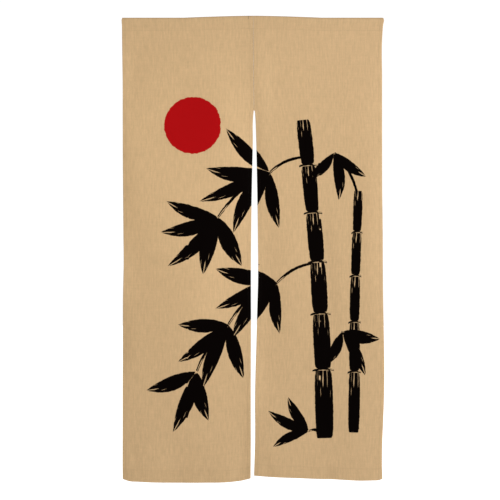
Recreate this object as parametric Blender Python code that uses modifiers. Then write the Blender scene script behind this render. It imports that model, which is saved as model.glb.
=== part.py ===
"""A two-panel noren. Each cloth panel is hemmed and turned over at the top into a rod sleeve.
The panels are sewn together down a short centre seam, and hang apart in a slit below it."""

import bmesh
import bpy
import numpy as np

# Sizes are in metres. X runs across the curtain, its front faces -Y, and Z is up.
# The origin is the middle of the top edge, inside the fold where the cloth bears on its rod.
DROP = 1.500
PANEL_WIDTH = 0.4225
SEAM_LENGTH = 0.301
SEAM_GAP = 0.0003

CLOTH = 0.0012
HEM = 0.0020
SIDE_HEM_WIDTH = 0.013
BOTTOM_HEM_DEPTH = 0.040

SLEEVE_DEPTH = 0.043
SLEEVE_HALF_WIDTH = 0.0090
SLEEVE_SEAM_Y = -0.0062
SLEEVE_FOLD_RADIUS = 0.0060
SLEEVE_STEPS = 14

# The middle of the top edge stands a little above its ends.
CREST_RISE = 0.0064
CREST_HALF_WIDTH = 0.225
CREST_POWER = 1.5
CREST_FADE = 0.25

# Where each panel's edges run, at drops below the top edge. The inner edges meet at the seam.
SEAM_LINE = (  # drop, x
    (0.000, 0.0016),
    (0.150, 0.0024),
    (0.301, 0.0042),
)
OUTER_EDGES = (  # drop, left panel's x, right panel's x
    (0.000, -0.4246, 0.4242),
    (0.006, -0.4262, 0.4264),
    (0.025, -0.4256, 0.4240),
    (0.070, -0.4250, 0.4208),
    (0.200, -0.4225, 0.4209),
    (0.400, -0.4224, 0.4209),
    (0.560, -0.4213, 0.4212),
    (0.700, -0.4202, 0.4230),
    (0.790, -0.4195, 0.4233),
    (0.920, -0.4222, 0.4242),
    (1.060, -0.4224, 0.4266),
    (1.150, -0.4224, 0.4275),
    (1.240, -0.4224, 0.4263),
    (1.310, -0.4223, 0.4238),
    (1.400, -0.4225, 0.4203),
    (1.460, -0.4226, 0.4200),
    (1.500, -0.4222, 0.4214),
)
SLIT_EDGES = (  # drop, left panel's x, right panel's x
    (0.306, 0.0030, 0.0068),
    (0.330, 0.0010, 0.0083),
    (0.400, 0.0006, 0.0108),
    (0.520, -0.0020, 0.0134),
    (0.700, -0.0050, 0.0162),
    (0.850, -0.0058, 0.0171),
    (0.950, -0.0055, 0.0145),
    (1.060, -0.0055, 0.0116),
    (1.160, -0.0058, 0.0085),
    (1.240, -0.0060, 0.0070),
    (1.380, -0.0058, 0.0072),
    (1.500, -0.0066, 0.0036),
)

# Where the bottom hem hangs: each panel dips in the middle and lifts at its inner corner.
LEFT_HEM_LINE = (  # x, drop
    (-0.4225, 1.4985),
    (-0.4030, 1.5052),
    (-0.3700, 1.5078),
    (-0.3300, 1.5099),
    (-0.2300, 1.5116),
    (-0.1700, 1.5116),
    (-0.0700, 1.5090),
    (-0.0350, 1.5048),
    (-0.0050, 1.4975),
)
RIGHT_HEM_LINE = (  # x, drop
    (0.0050, 1.4910),
    (0.0450, 1.4941),
    (0.1600, 1.4988),
    (0.2100, 1.5006),
    (0.2600, 1.5014),
    (0.3550, 1.5052),
    (0.3900, 1.5042),
    (0.4100, 1.5030),
    (0.4230, 1.4985),
)

# Soft folds, each a ridge along a straight line that eases in and out over some drop.
# Forward is towards the front.
FOLDS = (  # name, cloth, starts at drop, x there, ends at drop, x there, ease, half width, forward
    ("left belly", "both", 0.04, -0.185, 1.90, -0.225, 0.60, 0.150, 0.0039),
    ("right hollow", "both", 0.04, 0.185, 1.90, 0.200, 0.70, 0.150, -0.0055),
    ("dip below the sleeve", "both", 0.05, 0.000, 0.36, 0.000, 0.12, 0.500, -0.0014),
    ("hollow at the slit", "both", 0.15, 0.010, 1.20, 0.030, 0.35, 0.070, -0.0069),
    ("left swell beside the seam", "left", 0.05, 0.020, 0.40, -0.040, 0.12, 0.080, 0.0018),
    ("left upper side rise", "left", 0.05, -0.430, 0.80, -0.370, 0.25, 0.050, 0.0018),
    ("left top corner dip", "left", 0.05, -0.370, 0.40, -0.430, 0.12, 0.030, -0.0007),
    ("left outer swell", "left", 0.30, -0.370, 0.90, -0.310, 0.20, 0.120, 0.0057),
    ("left slit rise", "left", 0.30, 0.010, 1.10, 0.010, 0.30, 0.035, 0.0007),
    ("left slit dip", "left", 0.30, -0.010, 0.90, 0.050, 0.20, 0.030, -0.0034),
    ("left inner hollow", "left", 0.50, -0.040, 1.20, -0.100, 0.30, 0.080, -0.0059),
    ("left side rise", "left", 0.50, -0.430, 1.20, -0.430, 0.30, 0.030, 0.0019),
    ("left side dip", "left", 0.85, -0.430, 1.20, -0.430, 0.12, 0.030, -0.0034),
    ("low corner forward", "left", 0.80, -0.500, 2.00, -0.340, 0.60, 0.160, 0.0064),
    ("low diagonal", "left", 0.85, -0.330, 1.80, -0.080, 0.35, 0.060, 0.0004),
    ("left slit edge", "left", 0.95, 0.000, 1.90, -0.002, 0.50, 0.022, 0.0020),
    ("left foot dip", "left", 1.30, -0.250, 1.90, -0.250, 0.15, 0.050, -0.0018),
    ("left foot rise", "left", 1.30, -0.100, 1.90, -0.040, 0.15, 0.050, 0.0015),
    ("right side turned back", "right", 0.02, 0.440, 1.10, 0.440, 0.30, 0.045, -0.0021),
    ("right rise at the seam", "right", 0.05, 0.000, 0.40, -0.060, 0.12, 0.050, 0.0018),
    ("right rise beside the seam", "right", 0.05, 0.030, 0.80, 0.030, 0.25, 0.030, 0.0020),
    ("right inner fold", "right", 0.25, 0.050, 0.75, 0.070, 0.20, 0.035, 0.0016),
    ("right side rise", "right", 0.30, 0.420, 0.90, 0.360, 0.20, 0.050, 0.0013),
    ("right outer dip", "right", 0.40, 0.330, 1.30, 0.330, 0.30, 0.045, -0.0007),
    ("right middle trough", "right", 0.50, 0.210, 1.20, 0.270, 0.30, 0.030, -0.0021),
    ("right low hollow at the slit", "right", 0.80, 0.030, 1.90, -0.030, 0.35, 0.120, -0.0078),
    ("right low outer swell", "right", 0.80, 0.420, 1.90, 0.360, 0.35, 0.120, 0.0036),
    ("right low side", "right", 0.95, 0.440, 1.90, 0.440, 0.30, 0.040, 0.0014),
    ("right slit edge", "right", 1.05, 0.004, 1.35, 0.004, 0.10, 0.020, 0.0015),
    ("right foot rise", "right", 1.10, 0.030, 1.90, 0.090, 0.30, 0.050, 0.0012),
    ("left middle rise", "left", 0.05, -0.190, 0.40, -0.130, 0.12, 0.080, 0.0036),
    ("left inner rise", "left", 0.05, -0.100, 0.40, -0.100, 0.12, 0.050, 0.0017),
    ("left outer rise", "left", 0.05, -0.280, 0.40, -0.340, 0.12, 0.120, 0.0047),
    ("left top edge rise", "left", 0.05, -0.430, 0.40, -0.430, 0.12, 0.030, 0.0024),
    ("left corner rise", "left", 0.05, -0.430, 0.40, -0.370, 0.12, 0.120, 0.0026),
)

# Rows of the grid below the sleeve, as stretches that end at a drop and have so many rows.
ROWS = (  # end, rows
    (0.280, 9),
    (SEAM_LENGTH, 2),
    (0.306, 1),
    (0.330, 2),
    (DROP - BOTTOM_HEM_DEPTH, 26),
    (DROP, 3),
)
MIDDLE_COLUMNS = 15
HEM_STEP = 0.003

SLEEVE_SEAM_WELD = 0.0001
CLOTH_COLOUR = (0.604, 0.413, 0.231, 1.0)
CLOTH_ROUGHNESS = 0.88


def smooth(t):
    """Smooth step: 0 up to t = 0, 1 from t = 1, level at both ends."""
    t = np.clip(t, 0.0, 1.0)
    return t * t * (3.0 - 2.0 * t)


def curve(table, column, at):
    """The table's column as a smooth curve over its first one: cubic Hermite, with mean slopes."""
    rows = np.array(table)
    places, values = rows[:, 0], rows[:, column]
    slopes = np.gradient(values, places)
    at = np.clip(at, places[0], places[-1])
    first = np.clip(np.searchsorted(places, at, side="right") - 1, 0, len(places) - 2)
    step = places[first + 1] - places[first]
    t = (at - places[first]) / step
    return (
        values[first] * (1 + 2 * t) * (1 - t) ** 2
        + values[first + 1] * t**2 * (3 - 2 * t)
        + step * (slopes[first] * t * (1 - t) ** 2 - slopes[first + 1] * t**2 * (1 - t))
    )


def edges(side, drop):
    """The outer and the inner edge's x of one panel, at each drop. Side is -1 left or 1 right."""
    column = 1 if side < 0 else 2
    outer = curve(OUTER_EDGES, column, drop)
    seam = curve(SEAM_LINE, 1, drop) + side * SEAM_GAP / 2
    slit = curve(SLIT_EDGES, column, drop)
    inner = np.where(drop <= SEAM_LENGTH, seam, slit)
    return outer, inner


def crest(x):
    """Height of the top edge's middle surface: highest at x = 0, and level past the half width."""
    hump = 1.0 - (np.abs(x) / CREST_HALF_WIDTH) ** CREST_POWER
    return CLOTH / 2 + CREST_RISE * (np.clip(hump, 0.0, 1.0) - 1.0)


def forward(side, x, drop):
    """How far the cloth stands in front of the sleeve's seam: the sum of its folds' ridges."""
    cloth = "left" if side < 0 else "right"
    total = np.zeros_like(x)
    for _, on, start, x_start, end, x_end, ease, half_width, height in FOLDS:
        if on not in ("both", cloth):
            continue
        along = (drop - start) / (end - start)
        middle = x_start + (x_end - x_start) * along
        reach = smooth((drop - start) / ease) * smooth((end - drop) / ease)
        total += height * reach * np.exp(-(((x - middle) / half_width) ** 2))
    return total


def sleeve_loop():
    """The sleeve's section, from its sewn edge up the back, over the fold and down the front.
    The back is half a teardrop, y = sin t sin(t / 2), z = -(1 + cos t) / 2, pointed at the seam.
    The front curves forward over the fold's radius, and then hangs straight."""
    t = np.linspace(0.0, 2 * np.pi, SLEEVE_STEPS + 1)
    drop = SLEEVE_DEPTH * (1 + np.cos(t)) / 2
    belly = np.sin(t) * np.sin(t / 2)
    back = SLEEVE_HALF_WIDTH * belly / belly.max() + SLEEVE_SEAM_Y * smooth(drop / SLEEVE_DEPTH)
    short = 1 - np.clip(drop / SLEEVE_FOLD_RADIUS, 0, 1)
    front = SLEEVE_SEAM_Y * np.sqrt(1 - short**2)
    return np.where(t <= np.pi, back, front), drop


def columns():
    """Places across a panel, 0 at its outer edge and 1 at its inner one, close at the hems."""
    hem, step = SIDE_HEM_WIDTH / PANEL_WIDTH, HEM_STEP / PANEL_WIDTH
    middle = np.linspace(hem + step, 1 - hem - step, MIDDLE_COLUMNS)
    return np.concatenate([[0.0, hem], middle, [1 - hem, 1.0]])


def rows():
    """Drops of the rows below the sleeve's seam."""
    start, drops = SLEEVE_DEPTH, []
    for end, count in ROWS:
        drops.append(np.linspace(start, end, count + 1)[1:])
        start = end
    return np.concatenate(drops)


def panel_points(side):
    """The panel's middle surface as rows of points, and a mask of the points in its hems."""
    loop_y, loop_drop = sleeve_loop()
    drop = np.concatenate([loop_drop, rows()])[:, None]
    across = columns()[None, :]
    outer, inner = edges(side, drop)
    x = outer + (inner - outer) * across

    y = np.full(drop.shape, SLEEVE_SEAM_Y)
    y[: len(loop_y), 0] = loop_y
    below = np.arange(len(drop))[:, None] >= len(loop_y)
    y = y - np.where(below, forward(side, x, drop), 0.0)

    hem_line = LEFT_HEM_LINE if side < 0 else RIGHT_HEM_LINE
    extra = curve(hem_line, 1, x) - DROP
    stretch = np.clip((drop - SLEEVE_DEPTH) / (DROP - SLEEVE_DEPTH), 0.0, 1.0)
    fade = smooth((drop - SLEEVE_DEPTH) / CREST_FADE)
    rise = crest(x) + (crest(CREST_HALF_WIDTH) - crest(x)) * fade
    z = rise - drop - extra * stretch**2

    hem = (across <= across[0, 1]) | (across >= across[0, -2]) | (drop >= DROP - BOTTOM_HEM_DEPTH)
    return np.stack(np.broadcast_arrays(x, y, z), axis=-1), np.broadcast_to(hem, x.shape)


def cloth_material():
    material = bpy.data.materials.new("cloth")
    material.use_nodes = True
    shader = material.node_tree.nodes["Principled BSDF"]
    shader.inputs["Base Color"].default_value = CLOTH_COLOUR
    shader.inputs["Roughness"].default_value = CLOTH_ROUGHNESS
    shader.inputs["Metallic"].default_value = 0.0
    return material


def panel(name, side, material, collection):
    """One panel: a grid laid on the middle surface, welded at the sleeve's seam and thickened."""
    points, hem = panel_points(side)
    count_down, count_across = hem.shape
    sheet = bmesh.new()
    bmesh.ops.create_grid(sheet, x_segments=count_across - 1, y_segments=count_down - 1, size=1)
    sheet.verts.ensure_lookup_table()
    thick = sheet.verts.layers.deform.new()
    # The grid's points run along X first, from -1, and then up along Y.
    for vert, place, in_hem in zip(sheet.verts, points.reshape(-1, 3), hem.reshape(-1)):
        vert.co = place
        vert[thick][0] = 1.0 if in_hem else CLOTH / HEM
    bmesh.ops.remove_doubles(sheet, verts=sheet.verts, dist=SLEEVE_SEAM_WELD)
    mesh = bpy.data.meshes.new(name)
    sheet.to_mesh(mesh)
    sheet.free()
    mesh.materials.append(material)
    mesh.shade_smooth()
    cloth = bpy.data.objects.new(name, mesh)
    cloth.vertex_groups.new(name="thickness")
    collection.objects.link(cloth)
    solidify = cloth.modifiers.new("cloth thickness", "SOLIDIFY")
    solidify.solidify_mode = "NON_MANIFOLD"
    solidify.nonmanifold_thickness_mode = "EVEN"
    solidify.thickness = HEM
    solidify.offset = 0.0
    solidify.vertex_group = "thickness"
    return cloth


def main():
    for old in list(bpy.data.objects):
        bpy.data.objects.remove(old, do_unlink=True)
    collection = bpy.data.collections.new("noren")
    bpy.context.scene.collection.children.link(collection)
    material = cloth_material()
    panel("panel_left", -1, material, collection)
    panel("panel_right", 1, material, collection)


main()
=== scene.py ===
"""The looks of a two-panel noren: its slubbed cloth with turned hems, its stitching and its brush print."""

import math

import bpy
import numpy as np
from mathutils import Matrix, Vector


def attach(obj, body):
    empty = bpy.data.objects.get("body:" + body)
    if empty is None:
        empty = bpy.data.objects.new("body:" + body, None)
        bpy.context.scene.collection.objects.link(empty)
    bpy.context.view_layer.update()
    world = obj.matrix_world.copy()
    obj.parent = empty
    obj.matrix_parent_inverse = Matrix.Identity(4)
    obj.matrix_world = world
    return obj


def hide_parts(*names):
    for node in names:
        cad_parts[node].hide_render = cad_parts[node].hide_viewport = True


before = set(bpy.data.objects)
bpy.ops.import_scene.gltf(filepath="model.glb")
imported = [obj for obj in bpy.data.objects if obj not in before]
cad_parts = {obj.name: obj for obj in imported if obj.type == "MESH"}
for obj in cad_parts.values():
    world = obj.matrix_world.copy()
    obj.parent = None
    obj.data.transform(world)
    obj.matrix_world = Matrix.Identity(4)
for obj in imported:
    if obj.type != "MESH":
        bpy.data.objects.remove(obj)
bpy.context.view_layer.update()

# Sizes are in metres. X runs across the curtain, its front faces -Y, and Z is up.
# The panels' edges, hem lines and main folds are those of the solids that they replace.
DROP = 1.500
PANEL_WIDTH = 0.4225
SEAM_LENGTH = 0.301
SEAM_PRESS = 0.00012
SLIT_TIP = 0.005
SIDE_HEM_WIDTH = 0.013
BOTTOM_HEM_DEPTH = 0.040
SLEEVE_DEPTH = 0.043
SLEEVE_HALF_WIDTH = 0.0090
SLEEVE_SEAM_Y = -0.0062
SLEEVE_FOLD_RADIUS = 0.0060
SOLID_CLOTH = 0.0012

CREST_RISE = 0.0064
CREST_HALF_WIDTH = 0.225
CREST_POWER = 1.5
CREST_FADE = 0.25

SEAM_LINE = (  # drop, x
    (0.000, 0.0016),
    (0.150, 0.0024),
    (0.301, 0.0042),
)
OUTER_EDGES = (  # drop, left panel's x, right panel's x
    (0.000, -0.4246, 0.4242),
    (0.006, -0.4262, 0.4264),
    (0.025, -0.4256, 0.4240),
    (0.070, -0.4250, 0.4208),
    (0.200, -0.4225, 0.4209),
    (0.400, -0.4224, 0.4209),
    (0.560, -0.4213, 0.4212),
    (0.700, -0.4202, 0.4230),
    (0.790, -0.4195, 0.4233),
    (0.920, -0.4222, 0.4242),
    (1.060, -0.4224, 0.4266),
    (1.150, -0.4224, 0.4275),
    (1.240, -0.4224, 0.4263),
    (1.310, -0.4223, 0.4238),
    (1.400, -0.4225, 0.4203),
    (1.460, -0.4226, 0.4200),
    (1.500, -0.4222, 0.4214),
)
SLIT_EDGES = (  # drop, left panel's x, right panel's x
    (0.306, 0.0030, 0.0068),
    (0.330, 0.0010, 0.0083),
    (0.400, 0.0006, 0.0108),
    (0.520, -0.0020, 0.0134),
    (0.700, -0.0050, 0.0162),
    (0.850, -0.0058, 0.0171),
    (0.950, -0.0055, 0.0145),
    (1.060, -0.0055, 0.0116),
    (1.160, -0.0058, 0.0085),
    (1.240, -0.0060, 0.0070),
    (1.380, -0.0058, 0.0072),
    (1.500, -0.0066, 0.0036),
)
LEFT_HEM_LINE = (  # x, drop
    (-0.4225, 1.4985),
    (-0.4030, 1.5052),
    (-0.3700, 1.5078),
    (-0.3300, 1.5099),
    (-0.2300, 1.5116),
    (-0.1700, 1.5116),
    (-0.0700, 1.5090),
    (-0.0350, 1.5048),
    (-0.0050, 1.4975),
)
RIGHT_HEM_LINE = (  # x, drop
    (0.0050, 1.4910),
    (0.0450, 1.4941),
    (0.1600, 1.4988),
    (0.2100, 1.5006),
    (0.2600, 1.5014),
    (0.3550, 1.5052),
    (0.3900, 1.5042),
    (0.4100, 1.5030),
    (0.4230, 1.4985),
)

# Soft folds, each a ridge along a straight line that eases in and out over some drop.
# Forward is towards the front. The first table is the solids' folds, and the second the finer creases.
FOLDS = (  # cloth, starts at drop, x there, ends at drop, x there, ease, half width, forward
    ("both", 0.04, -0.185, 1.90, -0.225, 0.60, 0.150, 0.0039),
    ("both", 0.04, 0.185, 1.90, 0.200, 0.70, 0.150, -0.0055),
    ("both", 0.05, 0.000, 0.36, 0.000, 0.12, 0.500, -0.0014),
    ("both", 0.15, 0.010, 1.20, 0.030, 0.35, 0.070, -0.0069),
    ("left", 0.05, 0.020, 0.40, -0.040, 0.12, 0.080, 0.0018),
    ("left", 0.05, -0.430, 0.80, -0.370, 0.25, 0.050, 0.0018),
    ("left", 0.05, -0.370, 0.40, -0.430, 0.12, 0.030, -0.0007),
    ("left", 0.30, -0.370, 0.90, -0.310, 0.20, 0.120, 0.0057),
    ("left", 0.30, 0.010, 1.10, 0.010, 0.30, 0.035, 0.0007),
    ("left", 0.30, -0.010, 0.90, 0.050, 0.20, 0.030, -0.0034),
    ("left", 0.50, -0.040, 1.20, -0.100, 0.30, 0.080, -0.0059),
    ("left", 0.50, -0.430, 1.20, -0.430, 0.30, 0.030, 0.0019),
    ("left", 0.85, -0.430, 1.20, -0.430, 0.12, 0.030, -0.0034),
    ("left", 0.80, -0.500, 2.00, -0.340, 0.60, 0.160, 0.0064),
    ("left", 0.85, -0.330, 1.80, -0.080, 0.35, 0.060, 0.0004),
    ("left", 0.95, 0.000, 1.90, -0.002, 0.50, 0.022, 0.0020),
    ("left", 1.30, -0.250, 1.90, -0.250, 0.15, 0.050, -0.0018),
    ("left", 1.30, -0.100, 1.90, -0.040, 0.15, 0.050, 0.0015),
    ("right", 0.02, 0.440, 1.10, 0.440, 0.30, 0.045, -0.0021),
    ("right", 0.05, 0.000, 0.40, -0.060, 0.12, 0.050, 0.0018),
    ("right", 0.05, 0.030, 0.80, 0.030, 0.25, 0.030, 0.0020),
    ("right", 0.25, 0.050, 0.75, 0.070, 0.20, 0.035, 0.0016),
    ("right", 0.30, 0.420, 0.90, 0.360, 0.20, 0.050, 0.0013),
    ("right", 0.40, 0.330, 1.30, 0.330, 0.30, 0.045, -0.0007),
    ("right", 0.50, 0.210, 1.20, 0.270, 0.30, 0.030, -0.0021),
    ("right", 0.80, 0.030, 1.90, -0.030, 0.35, 0.120, -0.0078),
    ("right", 0.80, 0.420, 1.90, 0.360, 0.35, 0.120, 0.0036),
    ("right", 0.95, 0.440, 1.90, 0.440, 0.30, 0.040, 0.0014),
    ("right", 1.05, 0.004, 1.35, 0.004, 0.10, 0.020, 0.0015),
    ("right", 1.10, 0.030, 1.90, 0.090, 0.30, 0.050, 0.0012),
    ("left", 0.05, -0.190, 0.40, -0.130, 0.12, 0.080, 0.0036),
    ("left", 0.05, -0.100, 0.40, -0.100, 0.12, 0.050, 0.0017),
    ("left", 0.05, -0.280, 0.40, -0.340, 0.12, 0.120, 0.0047),
    ("left", 0.05, -0.430, 0.40, -0.430, 0.12, 0.030, 0.0024),
    ("left", 0.05, -0.430, 0.40, -0.370, 0.12, 0.120, 0.0026),
)
CREASES = (  # cloth, starts at drop, x there, ends at drop, x there, ease, half width, forward
    ("left", 0.285, -0.0060, 0.345, -0.0400, 0.020, 0.0060, 0.0003),
    ("left", 0.290, -0.0140, 0.350, -0.0500, 0.020, 0.0060, -0.0003),
    ("right", 0.290, 0.0120, 0.335, 0.0240, 0.020, 0.0060, -0.0002),
    ("left", 0.260, -0.2450, 0.335, -0.2000, 0.030, 0.0120, 0.0003),
    ("right", 0.270, 0.2350, 0.350, 0.2800, 0.030, 0.0120, 0.0003),
    ("left", 1.400, -0.2000, 1.530, -0.1300, 0.050, 0.0180, -0.0005),
    ("left", 1.380, -0.3900, 1.500, -0.3700, 0.040, 0.0120, -0.0004),
    ("left", 1.400, -0.0700, 1.540, -0.0450, 0.060, 0.0150, -0.0004),
    ("right", 1.400, 0.0450, 1.530, 0.0530, 0.050, 0.0140, -0.0005),
    ("right", 1.430, 0.2350, 1.540, 0.2600, 0.050, 0.0160, -0.0005),
    ("right", 1.060, 0.1900, 1.230, 0.2100, 0.060, 0.0120, 0.0003),
    ("right", 0.030, 0.4300, 1.650, 0.4300, 0.100, 0.0160, -0.0005),
)

# Cloth puckered by its rows of stitches: slanted ripples that die away from the edge.
SIDE_PUCKERS = (  # cloth, edge, starts at drop, ends at drop, pitch, reach, slant, height
    ("left", "outer", 0.38, 1.48, 0.036, 0.022, 0.9, 0.00028),
    ("left", "inner", 0.80, 1.48, 0.041, 0.012, -0.7, 0.00010),
    ("right", "outer", 0.25, 1.46, 0.047, 0.016, -0.8, 0.00012),
    ("right", "inner", 0.60, 1.46, 0.038, 0.012, 0.7, 0.00010),
)
ROW_PUCKERS = (  # cloth, drop of the row, pitch, reach, slant, height
    ("left", DROP - BOTTOM_HEM_DEPTH, 0.043, 0.022, 0.5, 0.00016),
    ("right", DROP - BOTTOM_HEM_DEPTH, 0.049, 0.020, -0.4, 0.00015),
    ("left", SLEEVE_DEPTH, 0.052, 0.020, 0.3, 0.00005),
    ("right", SLEEVE_DEPTH, 0.057, 0.020, 0.3, 0.00005),
)
# The ripples wander along their rows: their phase by this angle, and their height by these shares,
# its mean and its change. The waves are the lengths over which the phase and the height wander.
PHASE_WANDER = 2.2
RIPPLE_HEIGHT = (0.65, 0.6)
SIDE_WAVES = (0.23, 0.31)
ROW_WAVES = (0.19, 0.27)
SIDE_EASES = (0.15, 0.05)
ROW_SEED = 40
HEIGHT_SEED = 20

# The slack is waves of these lengths, the longest of height SLACK, which swell by a mean and a change.
SLACK = 0.00010
SLACK_LENGTHS = (0.31, 0.22, 0.17, 0.13, 0.095, 0.070)
SLACK_LEAN = 0.5
SLACK_SEED = 7
SWELL = (0.6, 0.4)
SWELL_LENGTH = 0.9
SWELL_SLANT = 0.6
RELIEF_FADE = 0.03

# The cloth's thickness, and a turned hem's, whose raw edge lies inside it. HEM_FOLD is how far
# a hem's middle lies behind the cloth's. The piles are what the other turned layers add to it.
CLOTH = 0.00050
DOUBLED = 0.00090
HEM_FOLD = 0.00075
CORNER_PILE = 0.0018
SLEEVE_PILE = 0.00185
HEM_FADE = 0.006
FLAP = 0.0025
FLAP_STEPS = (1.0, 0.5)
FLAP_TURN = 0.010

# The cloth's grid.
SIDE_HEM_COLUMNS = 5
MIDDLE_COLUMNS = 79
SLEEVE_ROWS = 40
ROW_STEP = 0.0040
FOOT_HEM_ROWS = 12

# The rows of stitches.
STITCH_PITCH = 0.0030
STITCH_LENGTH = 0.0024
THREAD = 0.00045
STITCH_INSET = 0.0020
STITCH_RISE = 0.00012
THREAD_SUNK = 0.00010
TACK_LENGTH = 0.016
TACK_PITCH = 0.0009
TINY_STEP = 0.0002

# The print's place on the cloth is measured from the seam line, with the panels drawn together.
STALKS = (  # foot x, foot drop, top x, top drop, bow, foot width, top width, joints
    (0.232, 1.372, 0.158, 0.330, 0.010, 0.060, 0.047, 6),
    (0.326, 1.350, 0.342, 0.560, -0.008, 0.038, 0.029, 5),
)
SPRAYS = (  # root x, root drop, joint x, joint drop, heading, leaves, spread, length, width
    (0.044, 0.505, 0.162, 0.455, 205.0, 5, 136.0, 0.235, 0.049),
    (-0.110, 0.650, 0.044, 0.505, 228.0, 5, 132.0, 0.225, 0.049),
    (0.064, 0.865, 0.185, 0.800, 222.0, 4, 112.0, 0.220, 0.048),
    (-0.075, 1.000, 0.064, 0.865, 232.0, 4, 112.0, 0.215, 0.048),
    (-0.178, 1.150, -0.075, 1.000, 246.0, 3, 84.0, 0.200, 0.046),
    (0.262, 0.440, 0.338, 0.575, 278.0, 3, 100.0, 0.160, 0.038),
    (0.286, 1.020, 0.222, 1.100, 296.0, 3, 96.0, 0.165, 0.038),
    (0.178, 1.346, 0.215, 1.362, 160.0, 3, 84.0, 0.150, 0.034),
)
STALK_SPACING = 0.85
JOINT_GAP = 0.007
JOINT_REACH = 0.62
JOINT_DIP = 0.006
JOINT_MARK = 0.0035
TWIG_BOW = 0.012
TWIG_WIDTH = 0.0095
LEAF_ROOT = 0.004
LEAF_TURN = 6
OUTER_LEAF_LOSS = 0.35
LEAF_LENGTHS = (0.88, 1.08)
LEAF_ROOTS = (0.5, 1.5)
LEAF_BOWS = (0.02, 0.07)
LEAF_WIDTHS = (0.85, 1.1)
LEAF_SEED = 11
SUN = (-0.196, 0.352, 0.092)
INK_MARGIN = 0.0115
INK_REACH = 1.3
INK_LAYERS = {"stalk": 5, "leaf": 9}
NO_STROKE = (0.5, 0.0, -1.0)
END_FALL = 0.25
# How a stroke's width runs along it, and where its brush begins to run dry.
BRUSH = {  # kind: power at its root, power at its tip, gain, dry from
    "stalk": (0.07, 0.07, 1.10, 0.25),
    "leaf": (0.85, 0.95, 3.48, 0.40),
}

# Kinds of a node group's sockets.
VECTOR, FLOAT = "NodeSocketVector", "NodeSocketFloat"

# Noises: turns a metre across the cloth, down it and off it, then detail and roughness.
WARP_SLUBS = ((200.0, 26.0, 1.0), 3.0, 0.6)
WEFT_SLUBS = ((18.0, 200.0, 1.0), 3.0, 0.6)
FINE_WARP = ((1300.0, 90.0, 1.0), 2.0, 0.5)
FINE_WEFT = ((90.0, 1300.0, 1.0), 2.0, 0.5)
CLOUDS = ((6.0, 4.0, 1.0), 3.0, 0.5)
RAGGED_EDGE = ((70.0, 70.0, 1.0), 3.0, 0.65)
DRY_STREAKS = ((1.6, 260.0, 1.0), 2.0, 0.6)
THREAD_FLECKS = ((700.0, 700.0, 700.0), 2.0, 0.5)
FLOOR_GRAIN = ((3.0, 3.0, 3.0), 2.0, 0.5)

# Shares of the weave's tone, and of its height, which is in WEAVE_DEPTHs, as is DIMPLE_DEPTH.
WEFT_SHARE = 0.35
FINE_TONE = 0.5
FINE_HEIGHT = 0.5
CROSSING_HEIGHT = 0.15
YARN_PITCH = 0.0011
WEAVE_DEPTH = 0.000025
DIMPLE_DEPTH = 0.6
DIMPLE_WIDTH = 0.0011
HEM_EDGE = 0.0006
HEM_ROWS = (  # hem's depth, how far inside it its row of stitches runs, strength of the row's dimple
    (SIDE_HEM_WIDTH, STITCH_INSET, 1.0),
    (BOTTOM_HEM_DEPTH, STITCH_INSET, 0.6),
    (SLEEVE_DEPTH, 0.0, 1.0),
)

RAGGED_DEPTH = 0.0050
SUN_RAGGED_DEPTH = 0.0100
INK_SOFTNESS = 0.0005
DRY_START = 0.24
DRY_SHARE = 0.14
DRY_SOFTNESS = 0.03
BLEED = 0.25

CLOTH_COLOUR = (0.613, 0.420, 0.231)
INK_COLOUR = (0.0020, 0.0010, 0.0008, 1.0)
SUN_COLOUR = (0.400, 0.0045, 0.0060, 1.0)
CLOTH_ROUGHNESS = 0.88
ROUGHNESS_RANGE = 0.10
CLOTH_SPECULAR = 0.015
WEAVE_CONTRAST = 0.37
CLOUD_CONTRAST = 0.04
# Painted shade: the cloth's colour is darker where turned layers lie behind it and along its rows of
# stitches.
LAYER_SHADE = 0.015
STITCH_SHADE = 0.035
# Painted shade: narrow darker lines along the seam and beside it, where the edges of its allowances lie.
SEAM_SHADE_LINES = (  # x from the seam, starts at drop, ends at drop, shade
    (-0.0006, -0.050, SLEEVE_DEPTH, 0.10),
    (-0.0006, SLEEVE_DEPTH, SEAM_LENGTH, 0.24),
    (-0.0070, SLEEVE_DEPTH, SEAM_LENGTH, 0.06),
    (-0.0156, -0.003, 0.012, 0.48),
    (-0.0156, 0.012, SLEEVE_DEPTH, 0.07),
)
SEAM_SHADE_WIDTH = 0.0012

THREAD_COLOUR = (0.50, 0.34, 0.19)
THREAD_CONTRAST = 0.5
THREAD_ROUGHNESS = 0.75
THREAD_SPECULAR = 0.2
PLY_SCALE = 450.0
PLY_STRENGTH = 0.6
PLY_DEPTH = 0.00008

FLOOR_Z = -1.95
FLOOR_RADII = (0.5, 2.0, 14.0)
FLOOR_SIDES = 96
FLOOR_TONE = 0.80
FLOOR_CONTRAST = 0.02
FLOOR_ROUGHNESS = 0.9

WHITE = (1.0, 1.0, 1.0, 1.0)
PAPER_WHITE = 1.05
SURROUND = 0.33
SURROUND_COLOUR = (1.0, 0.97, 0.88, 1.0)
LIGHT_AIM = (0.0, 0.0, -0.75)
LIGHTS = (  # name, place, size, power, colour
    ("key light", (6.94, -3.01, 0.0), 2.5, 660.0, (0.99, 1.0, 1.04)),
    ("near fill", (-0.44, -1.02, -0.44), 0.8, 2.3, (1.0, 0.96, 0.80)),
)

# The camera stands square to the cloth.
SENSOR_WIDTH = 36.0
VIEW_DISTANCE = 3.6
VIEW_HEIGHT = 1.6225
VIEW_X = -0.0090
VIEW_Z = -0.7615
CLOTH_Y = -0.011


def smooth(t):
    """Smooth step: 0 up to t = 0, 1 from t = 1, level at both ends."""
    t = np.clip(t, 0.0, 1.0)
    return t * t * (3.0 - 2.0 * t)


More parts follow.
